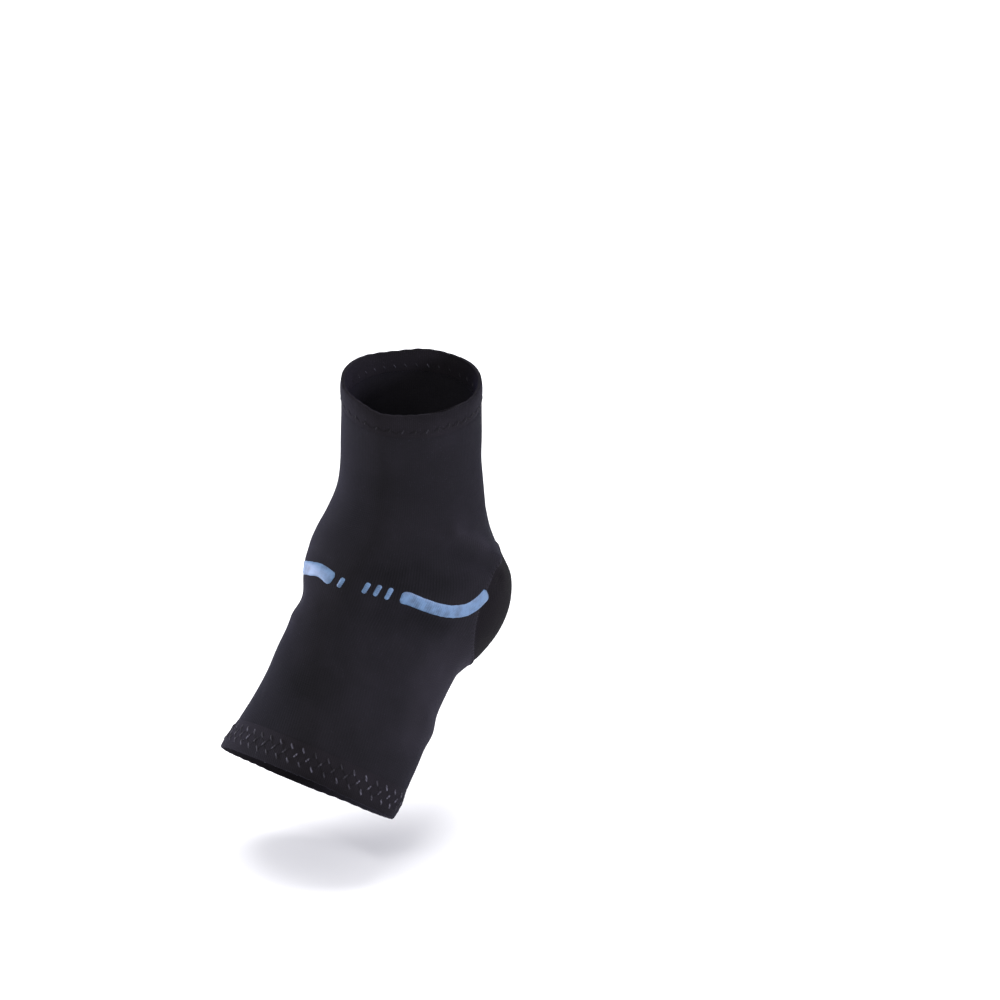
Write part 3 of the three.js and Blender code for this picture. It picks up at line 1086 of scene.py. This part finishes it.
@dataclass
class Hem:
    """A turned hem around an opening, sewn down with rows of stitches.

    All sizes are in millimetres. stitch_rows are distances from the opening's edge, and lip_waves are
    the places in degrees, heights and spreads in degrees of where the lip strays outwards.
    """

    opening: Opening
    width: float
    stitch_rows: tuple[float, ...]
    pitch: float
    stitch_length: float
    lip_waves: tuple[tuple[float, float, float], ...] = ()
    thread: float = 0.26
    columns: int = 320
    lip: int = 7
    steps: int = 22
    lip_radius: float = 0.9
    dimple: float = 0.22
    openness: float = 0.12
    lean: float = 0.1

    @property
    def name(self) -> str:
        """The hem's name, after its opening."""
        return f"{self.opening.value}_hem"

    def girth(self) -> float:
        """Gives the length around the opening's edge, in millimetres."""
        angle = np.linspace(0, 2 * math.pi, 181)
        return float(steps_of(FORM.smooth(np.full(len(angle), self.opening.end), angle)).sum())

    def even_angles(self, count: int, shift: float = 0.0) -> np.ndarray:
        """Gives angles that are evenly spaced along the opening's edge.

        Args:
            count: How many there are.
            shift: How far the first one is from the front, as a share of a step.

        Returns:
            The angles in radians.
        """
        angle = np.linspace(0, 2 * math.pi, 361)
        edge = FORM.smooth(np.full(len(angle), self.opening.end), angle)
        run = np.concatenate([[0], np.cumsum(steps_of(edge))])
        wanted = (np.arange(count) + shift) / count * run[-1]
        return np.interp(wanted % run[-1], run, angle)

    def profile(self) -> np.ndarray:
        """Gives the hem's closed outline: its outer face, lip, inner face and back edge.

        Returns:
            Distances from the edge and heights off the outside, in millimetres.
        """
        top, bottom = float(self.outer(self.lip_radius)), float(self.inner(self.lip_radius))
        middle, radius = (top + bottom) / 2, (top - bottom) / 2
        outer = [(d, float(self.outer(d))) for d in np.linspace(self.width, self.lip_radius, self.steps)]
        turn = np.linspace(0, math.pi, self.lip + 2)[1:-1]
        lip = [(self.lip_radius * (1 - math.sin(t)), middle + radius * math.cos(t)) for t in turn]
        inner = [(d, float(self.inner(d))) for d in np.linspace(self.lip_radius, self.width, self.steps)]
        back = [(self.width, h) for h in np.linspace(inner[-1][1], outer[0][1], 4)[1:]]
        return np.array(outer + lip + inner + back)

    def outer(self, distance: np.ndarray | float) -> np.ndarray | float:
        """Gives the hem's outer height: level with the sleeve, fuller in the middle, thin at the lip."""
        return HEM_EXTRA * (0.45 - 0.42 * bell(distance - self.width, 2.5) - 0.7 * bell(distance, 2.2))

    def inner(self, distance: np.ndarray | float) -> np.ndarray | float:
        """Gives the hem's inner height, with the lip pressed thin."""
        return -WALL + 0.75 * bell(distance, 2.6)

    def point(self, angle: np.ndarray, distance: np.ndarray, out: np.ndarray) -> np.ndarray:
        """Gives points of the hem's cloth in metres, its lip a little wavy."""
        strayed = distance - self.wave(angle) * np.clip(1 - distance / self.width, 0, 1)
        return FORM.cloth(FORM.from_opening(self.opening, strayed, angle), angle, out)

    def relief(self, angle: np.ndarray, distance: np.ndarray) -> np.ndarray:
        """Gives how the stitches draw the hem's face in, and how it swells between them.

        Args:
            angle: From the front over the outer side, in radians.
            distance: Millimetres from the opening's edge.

        Returns:
            Millimetres outwards for each pair.
        """
        pull = np.zeros(len(angle))
        count = self.count()
        for row in self.stitch_rows:
            gather = 0.7 + 0.3 * np.cos(angle * count)
            pull += self.dimple * bell(distance - row, 1.0) * gather
        return 0.1 * np.sin(math.pi * np.clip(distance / self.width, 0, 1)) - pull

    def count(self) -> int:
        """Gives how many stitches go round."""
        return round(self.girth() / self.pitch)

    def place(self, around: np.ndarray, along: np.ndarray) -> np.ndarray:
        """Puts the flat grid's points on the hem's closed outline.

        Args:
            around: Shares around the limb.
            along: Shares around the outline.

        Returns:
            One point for each pair, in metres.
        """
        outline = self.profile()
        row = np.rint(along * (len(outline) - 1)).astype(int)
        angle = around * 2 * math.pi
        distance, out = outline[row, 0], outline[row, 1]
        outside = (row < self.steps) | (row == len(outline) - 1)
        out = out + np.where(outside, self.relief(angle, distance), 0.0)
        return self.point(angle, distance, out)

    def wave(self, angle: np.ndarray) -> np.ndarray:
        """Gives how far the lip strays outwards along the limb.

        Args:
            angle: From the front over the outer side, in radians.

        Returns:
            Millimetres for each angle.
        """
        total = 0.12 * np.sin(angle * self.count() + 0.6) + 0.25 * np.sin(angle * 5 + 1.1)
        for degrees, height, spread in self.lip_waves:
            away = (np.degrees(angle) - degrees + 180) % 360 - 180
            total += height * bell(away, spread)
        return total

    def build(
        self, knit: KnitFinish, light: ThreadFinish, dark: ThreadFinish
    ) -> list[bpy.types.Object]:
        """Makes the hem, its stitches and the threads that join them.

        Args:
            knit: The hem's cloth.
            light: The thread of the stitches.
            dark: The thread that runs between them.

        Returns:
            The three pieces.
        """
        outline = self.profile()
        lip_and_back = 6
        loops = (self.girth() / LOOP, (2 * self.width + lip_and_back) / LOOP)
        hem = wrap_grid(f"{self.name}_cloth", self.columns, len(outline) - 1, self.place, loops)
        on_whole_mesh(hem, bpy.ops.mesh.normals_make_consistent, inside=False)
        set_tone_and_shading(hem, self.tone_with_lip_shade(hem))
        smooth_faces(hem, 60)
        finish_piece(hem, knit.material(), "hem_fabric", self.name)
        stitches = self.stitches()
        finish_piece(stitches, light.material(), "hem_fabric")
        links = self.links()
        finish_piece(links, dark.material(), "hem_fabric")
        flat = (self.girth() / HEM_STRETCH * MM, (self.width + WALL) * MM)
        return [hem, stitches, links]

    def tone_with_lip_shade(self, hem: bpy.types.Object) -> np.ndarray:
        """Gives the hem's tone: its base tone in its width, darkened along its lip as painted shade.

        Args:
            hem: The finished cloth of the hem.

        Returns:
            How pale it is drawn at each point of its mesh.
        """
        angle = np.linspace(0, 2 * math.pi, 120, endpoint=False)
        edge = self.point(angle, np.zeros(120), np.full(120, -0.8))
        points = np.empty(len(hem.data.vertices) * 3)
        hem.data.vertices.foreach_get("co", points)
        points = points.reshape(-1, 3)
        gap = np.min(np.linalg.norm(points[:, None] - edge[None], axis=2), axis=1) / MM
        return self.openness * (1 - bell(gap, 3.5))

    def stitches(self) -> bpy.types.Object:
        """Lays the short stitches of every row outside and inside, each row half a stitch on.

        Returns:
            The stitches as one piece.
        """
        runs = []
        for number, row in enumerate(self.stitch_rows):
            angles = self.even_angles(self.count(), 0.5 * (number % 2))
            lean = (self.lean if number % 2 else -self.lean) * self.pitch / self.girth() * 2 * math.pi
            for outside in (True, False):
                line = []
                for share, height in STITCH_ARC:
                    distance = np.full(len(angles), row + share * self.stitch_length)
                    shifted = angles + lean * share * 2
                    if outside:
                        out = self.outer(distance) + self.relief(shifted, distance) + height
                    else:
                        out = self.inner(distance) - height
                    line.append(self.point(shifted, distance, out))
                runs.extend(np.stack(line, axis=1))
        return threads(f"{self.name}_stitches", runs, self.thread)

    def links(self) -> bpy.types.Object:
        """Lays the darker threads that run slantwise from each stitch to the next row's.

        Returns:
            The threads as one piece.
        """
        rows = self.stitch_rows
        if len(rows) == 1:
            rows = (rows[0] - self.stitch_length / 2, rows[0] + self.stitch_length / 2)
        runs = []
        half = 0.5 * self.pitch / self.girth() * 2 * math.pi
        for upper, lower in zip(rows[:-1], rows[1:]):
            shift = 0.5 * (rows.index(upper) % 2)
            for angle in self.even_angles(self.count(), shift):
                for side in (-half, half):
                    shares = np.linspace(0, 1, 5)
                    distance = upper + (lower - upper) * shares
                    angles = angle + side * shares
                    surface = self.outer(distance) + self.relief(angles, distance)
                    bow = 0.08 * np.sin(math.pi * shares) - 0.06
                    runs.append(self.point(angles, distance, surface + bow))
        return threads(f"{self.name}_links", runs, 0.17, sides=1)


@dataclass
class Print:
    """One printed mark, a ribbon of ink along a path on the cloth."""

    name: str
    node: str
    path: Path
    width: float
    across: int = 14
    film: float = 0.3
    seam_lift: float = 0.25
    uneven: float = 0.16

    def centre(self, share: np.ndarray) -> tuple[np.ndarray, np.ndarray]:
        """Follows the path.

        Args:
            share: Shares of the path, 0 to 1.

        Returns:
            The u and the angle of each.
        """
        knots = np.array([(s / LAST, math.radians(a)) for s, a in self.path])
        places = spline(knots, share)
        return places[:, 0], places[:, 1]

    def length(self) -> float:
        """Gives the path's length in millimetres."""
        u, angle = self.centre(np.linspace(0, 1, 60))
        return float(steps_of(FORM.smooth(u, angle)).sum())

    def place(self, around: np.ndarray, along: np.ndarray) -> np.ndarray:
        """Puts the flat grid's points on the mark, with round ends and an uneven inked edge.

        Args:
            around: Shares across the mark.
            along: Shares of its path.

        Returns:
            One point for each pair, in metres.
        """
        u, angle = self.centre(along)
        ahead_u, ahead_angle = self.centre(np.minimum(1, along + 0.01))
        behind_u, behind_angle = self.centre(np.maximum(0, along - 0.01))
        ahead = WornForm.unit(FORM.smooth(ahead_u, ahead_angle) - FORM.smooth(behind_u, behind_angle))
        sideways = np.cross(FORM.outward(u, angle), ahead)
        down = (FORM.smooth(u + 0.005, angle) - FORM.smooth(u - 0.005, angle)) / 0.01
        around_step = (FORM.smooth(u, angle + 0.01) - FORM.smooth(u, angle - 0.01)) / 0.02
        length = self.length()
        from_end = np.minimum(1, np.minimum(along, 1 - along) * length / (self.width / 2) + 0.12)
        half = self.width / 2 * np.sqrt(1 - (1 - from_end) ** 2)
        side = (around - 0.5) * 2
        places = zip(along * length * 0.5, np.sign(side) * 0.8)
        stray = np.array([noise.noise(Vector((run, edge, self.width))) for run, edge in places])
        reach = side * (half + self.uneven * stray * np.abs(side))
        u_step = (sideways * down).sum(axis=1) / (down**2).sum(axis=1)
        angle_step = (sideways * around_step).sum(axis=1) / (around_step**2).sum(axis=1)
        edge = np.minimum((1 - np.abs(side)) * half, np.minimum(along, 1 - along) * length)
        u, angle = u + reach * u_step, angle + reach * angle_step
        under = FORM.smooth(u, angle) * MM
        over_seam = self.seam_lift * bell(past_heel_seam(under[:, 1], under[:, 2]) - 1.2, 2.8)
        lift = (self.film + over_seam) * (1 - bell(edge, 0.45)) + 0.8 * over_seam - 0.03
        return FORM.cloth(u, angle, lift)

    def build(self, ink: bpy.types.Material) -> bpy.types.Object:
        """Makes the mark as a thin film of ink over the knit.

        Args:
            ink: The material that all marks share.

        Returns:
            The mark.
        """
        rows = max(16, round(self.length() / 0.5))
        loops = (self.width / LOOP, self.length() / LOOP)
        film = wrap_grid(self.name, self.across, rows, self.place, loops)
        self.face_out(film)
        apply_modifier(film, "SOLIDIFY", thickness=0.35 * MM, offset=-1.0)
        smooth_faces(film, 60)
        finish_piece(film, ink, "blue_print", self.node)
        return film

    @staticmethod
    def face_out(film: bpy.types.Object) -> None:
        """Turns the film's faces away from the ankle's middle.

        Args:
            film: The flat mark, before it gets its thickness.
        """
        middle = Vector((0.0, 0.005, -0.012))
        total = sum((p.center - middle).dot(p.normal) for p in film.data.polygons)
        if total < 0:
            on_whole_mesh(film, bpy.ops.mesh.flip_normals)


@dataclass(frozen=True)
class Studio:
    """A pale floor, soft light and the camera at the photograph's angle.

    The view was read from the photograph: one pixel is mm_per_pixel at the ankle, whose middle
    falls on the pixel origin of a picture 1000 pixels wide and high.
    """

    azimuth: float = 45.0
    elevation: float = 18.0
    distance: float = 1.8
    mm_per_pixel: float = 0.44
    origin: tuple[float, float] = (403.0, 530.0)
    picture: float = 1000.0
    floor_drop: float = 0.136
    sensor: float = 36.0

    def floor(self) -> None:
        """Lays a pale, matt floor far wider than the view."""
        deselect_all()
        bpy.ops.mesh.primitive_plane_add(size=16.0, location=(0.0, 0.0, -self.floor_drop))
        floor = bpy.context.object
        floor.name = "studio_floor"
        material, tree = new_material("matt_paper")
        place = add_node(tree, "ShaderNodeTexCoord").outputs["Object"]
        grain = add_node(tree, "ShaderNodeTexNoise", {"Vector": place, "Scale": 4.0})
        colour = add_node(
            tree,
            "ShaderNodeMix",
            {0: grain.outputs[0], 6: linear("#fbfbfc"), 7: linear("#f6f6f8")},
            data_type="RGBA",
        )
        surface = {"Base Color": colour.outputs[2], "Roughness": 0.9, "IOR": 1.3}
        shader = add_node(tree, "ShaderNodeBsdfPrincipled", surface)
        add_node(tree, "ShaderNodeOutputMaterial", {"Surface": shader})
        floor.data.materials.append(material)

    def area_light(
        self,
        name: str,
        place: tuple[float, float, float],
        size: float,
        watts: float,
        colour: tuple[float, float, float] = (1.0, 1.0, 1.0),
    ) -> None:
        """Adds a soft square light that looks at the ankle.

        Args:
            name: The light's name.
            place: Where it stands, in metres.
            size: Its edge, in metres.
            watts: Its power.
            colour: Its linear colour.
        """
        light = bpy.data.lights.new(name, "AREA")
        light.size = size
        light.energy = watts
        light.color = colour
        lamp = bpy.data.objects.new(name, light)
        lamp.location = place
        lamp.rotation_euler = (-Vector(place)).to_track_quat("-Z", "Y").to_euler()
        bpy.context.collection.objects.link(lamp)

    def lights(self) -> None:
        """Lights the scene like a white studio, with colours shown as they are."""
        bpy.context.scene.view_settings.view_transform = "Standard"
        world = bpy.data.worlds.new("white_studio")
        world.use_nodes = True
        world.node_tree.nodes["Background"].inputs[0].default_value = (1.0, 1.0, 1.0, 1.0)
        world.node_tree.nodes["Background"].inputs[1].default_value = 0.66
        bpy.context.scene.world = world
        self.area_light("top_light", (-0.8, 0.8, 3.2), 3.0, 120.0)
        self.area_light("left_light", (-2.1, -1.1, 0.06), 0.36, 68.0, (0.8, 0.8, 1.0))
        self.area_light("right_light", (2.0, 0.9, 0.12), 0.6, 44.0, (0.82, 0.81, 1.0))
        self.area_light("front_light", (0.8, -1.7, 1.6), 0.9, 20.0)

    def camera(self) -> None:
        """Sets the camera so that the ankle falls where it does in the photograph."""
        azimuth, elevation = math.radians(self.azimuth), math.radians(self.elevation)
        back = Vector(
            (
                math.sin(azimuth) * math.cos(elevation),
                -math.cos(azimuth) * math.cos(elevation),
                math.sin(elevation),
            )
        )
        right = Vector((math.cos(azimuth), math.sin(azimuth), 0.0))
        up = back.cross(right)
        half = self.picture / 2
        aside = (half - self.origin[0]) * self.mm_per_pixel * MM
        above = (self.origin[1] - half) * self.mm_per_pixel * MM
        data = bpy.data.cameras.new("photo_camera")
        data.sensor_width = self.sensor
        data.lens = self.sensor * self.distance / (self.picture * self.mm_per_pixel * MM)
        data.dof.use_dof = False
        camera = bpy.data.objects.new("photo_camera", data)
        camera.location = right * aside + up * above + back * self.distance
        camera.rotation_euler = back.to_track_quat("Z", "Y").to_euler()
        bpy.context.collection.objects.link(camera)
        bpy.context.scene.camera = camera

    def build(self) -> None:
        """Sets up the whole studio."""
        self.floor()
        self.lights()
        self.camera()


JERSEY = KnitFinish("nylon_jersey", face="#131215", groove_shade="#0a0a0b", pale_and_lit="#252328")
HEEL_JERSEY = KnitFinish("heel_jersey", face="#0f0c10", groove_shade="#080709", pale_and_lit="#19171c", sheen=0.0)
HEM_JERSEY = KnitFinish("turned_jersey", face="#151316", groove_shade="#0c0b0d", pale_and_lit="#2a272c")
# The stitches' light colours are painted highlights along each thread's twist; their dark colours are the
# threads' own.
PALE_HIGHLIT_THREAD = ThreadFinish("highlit_polyester_thread", light="#504e59", dark="#151317", lustre=0.12)
GREY_HIGHLIT_THREAD = ThreadFinish("highlit_grey_polyester_thread", light="#37353d", dark="#111013", lustre=0.1)
DARK_THREAD = ThreadFinish("dark_polyester_thread", light="#1b191d", dark="#121113", lustre=0.04)
INK = InkFinish("plastisol_ink", full="#4b698a", thin="#253952")


def main() -> None:
    """Builds and dresses every piece in order."""
    logging.basicConfig(level=logging.INFO, format="%(name)s %(message)s")
    Studio().build()
    Sleeve().build(JERSEY, HEEL_JERSEY, DARK_THREAD)
    leg = Hem(
        Opening.LEG,
        LEG_HEM,
        stitch_rows=(7.4,),
        pitch=5.6,
        stitch_length=1.8,
        thread=0.32,
        dimple=0.12,
        lip_waves=((86, 2.0, 13), (24, -1.0, 14), (-62, 1.2, 20), (176, 0.9, 16), (-118, -0.8, 18)),
    )
    leg.build(HEM_JERSEY, GREY_HIGHLIT_THREAD, DARK_THREAD)
    foot = Hem(
        Opening.FOOT,
        FOOT_HEM,
        stitch_rows=(4.4, 7.6, 10.7),
        pitch=5.9,
        stitch_length=2.1,
        thread=0.44,
    )
    foot.build(HEM_JERSEY, PALE_HIGHLIT_THREAD, DARK_THREAD)
    ink = INK.material()
    Print("lateral_print", "lateral_band", LATERAL_BAND, BAND_WIDTH).build(ink)
    Print("medial_print", "medial_band", MEDIAL_BAND, BAND_WIDTH).build(ink)
    for node, path in DASHES.items():
        Print(f"{node}_print", node, path, DASH_WIDTH, across=8).build(ink)
    deselect_all()


if __name__ == "__main__":
    main()
